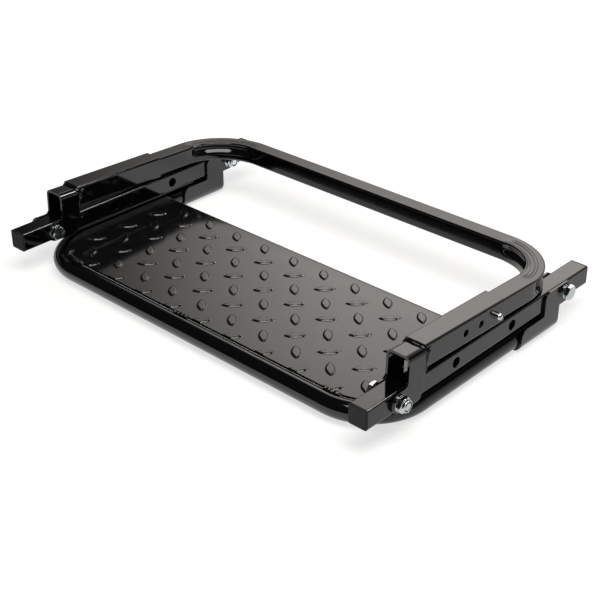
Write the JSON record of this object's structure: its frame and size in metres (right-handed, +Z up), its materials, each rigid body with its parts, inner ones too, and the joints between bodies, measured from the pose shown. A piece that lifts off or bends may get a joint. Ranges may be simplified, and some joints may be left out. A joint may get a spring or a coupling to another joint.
{
  "type": "folding tire step",
  "caption": "Folding step that hangs on a vehicle tyre: diamond tread platform, two hinged square arms and a telescoping hook loop locked by snap buttons.",
  "frame": {"origin": "on the floor under the middle of the arms, with the step folded flat", "axes": "+Z up, X across the step, +Y from the platform's front bar to the hook's back bar"},
  "size_m": [0.6472, 0.429, 0.1004],
  "materials": {
    "black_powder_coat": "gloss black powder coat on steel",
    "black_plastic": "satin black plastic",
    "zinc_plate": "bright zinc plate",
    "button_steel": "bright zinc plate"
  },
  "bodies": {
    "platform": {"platform_frame": "black_powder_coat", "tread_plate": "black_powder_coat", "step_bracket_left": "black_powder_coat", "step_bracket_right": "black_powder_coat", "step_pivot_bolt_left": "zinc_plate", "step_pivot_bolt_right": "zinc_plate", "step_pivot_nut_left": "zinc_plate", "step_pivot_nut_right": "zinc_plate", "step_pivot_washers": "zinc_plate"},
    "arms": {"arm_left": "black_powder_coat", "arm_right": "black_powder_coat", "arm_front_plug_left": "black_plastic", "arm_front_plug_right": "black_plastic", "arm_rear_plug_left": "black_plastic", "arm_rear_plug_right": "black_plastic"},
    "hook": {"hook_bracket_left": "black_powder_coat", "hook_bracket_right": "black_powder_coat", "sleeve_left": "black_powder_coat", "sleeve_right": "black_powder_coat", "hook_pivot_bolt_left": "zinc_plate", "hook_pivot_bolt_right": "zinc_plate", "hook_pivot_nut_left": "zinc_plate", "hook_pivot_nut_right": "zinc_plate", "hook_pivot_washers": "zinc_plate"},
    "loop": {"hook_loop": "black_powder_coat"},
    "left_button": {"snap_clip_left": "button_steel"},
    "right_button": {"snap_clip_right": "button_steel"}
  },
  "joints": [
    {"name": "arms_unfold", "type": "hinge", "parent": "platform", "child": "arms", "pos_m": [0, 0.1615, 0.0493], "axis": [-1, 0, 0], "range_deg": [0, 90]},
    {"name": "hook_unfold", "type": "hinge", "parent": "arms", "child": "hook", "pos_m": [0, -0.1635, 0.0493], "axis": [1, 0, 0], "range_deg": [0, 92]},
    {"name": "loop_slide", "type": "slide", "parent": "hook", "child": "loop", "axis": [0, 0.9994, -0.0349], "range_m": [-0.0576, 0], "deforming": ["snap_clip_left", "snap_clip_right"]},
    {"name": "left_button_press", "type": "slide", "parent": "loop", "child": "left_button", "axis": [1, 0, 0], "range_m": [0, 0.0111], "stiffness_N_per_m": 400, "springref_m": -0.004, "deforming": ["snap_clip_left"]},
    {"name": "right_button_press", "type": "slide", "parent": "loop", "child": "right_button", "axis": [-1, 0, 0], "range_m": [0, 0.0111], "stiffness_N_per_m": 400, "springref_m": -0.004, "deforming": ["snap_clip_right"]}
  ]
}
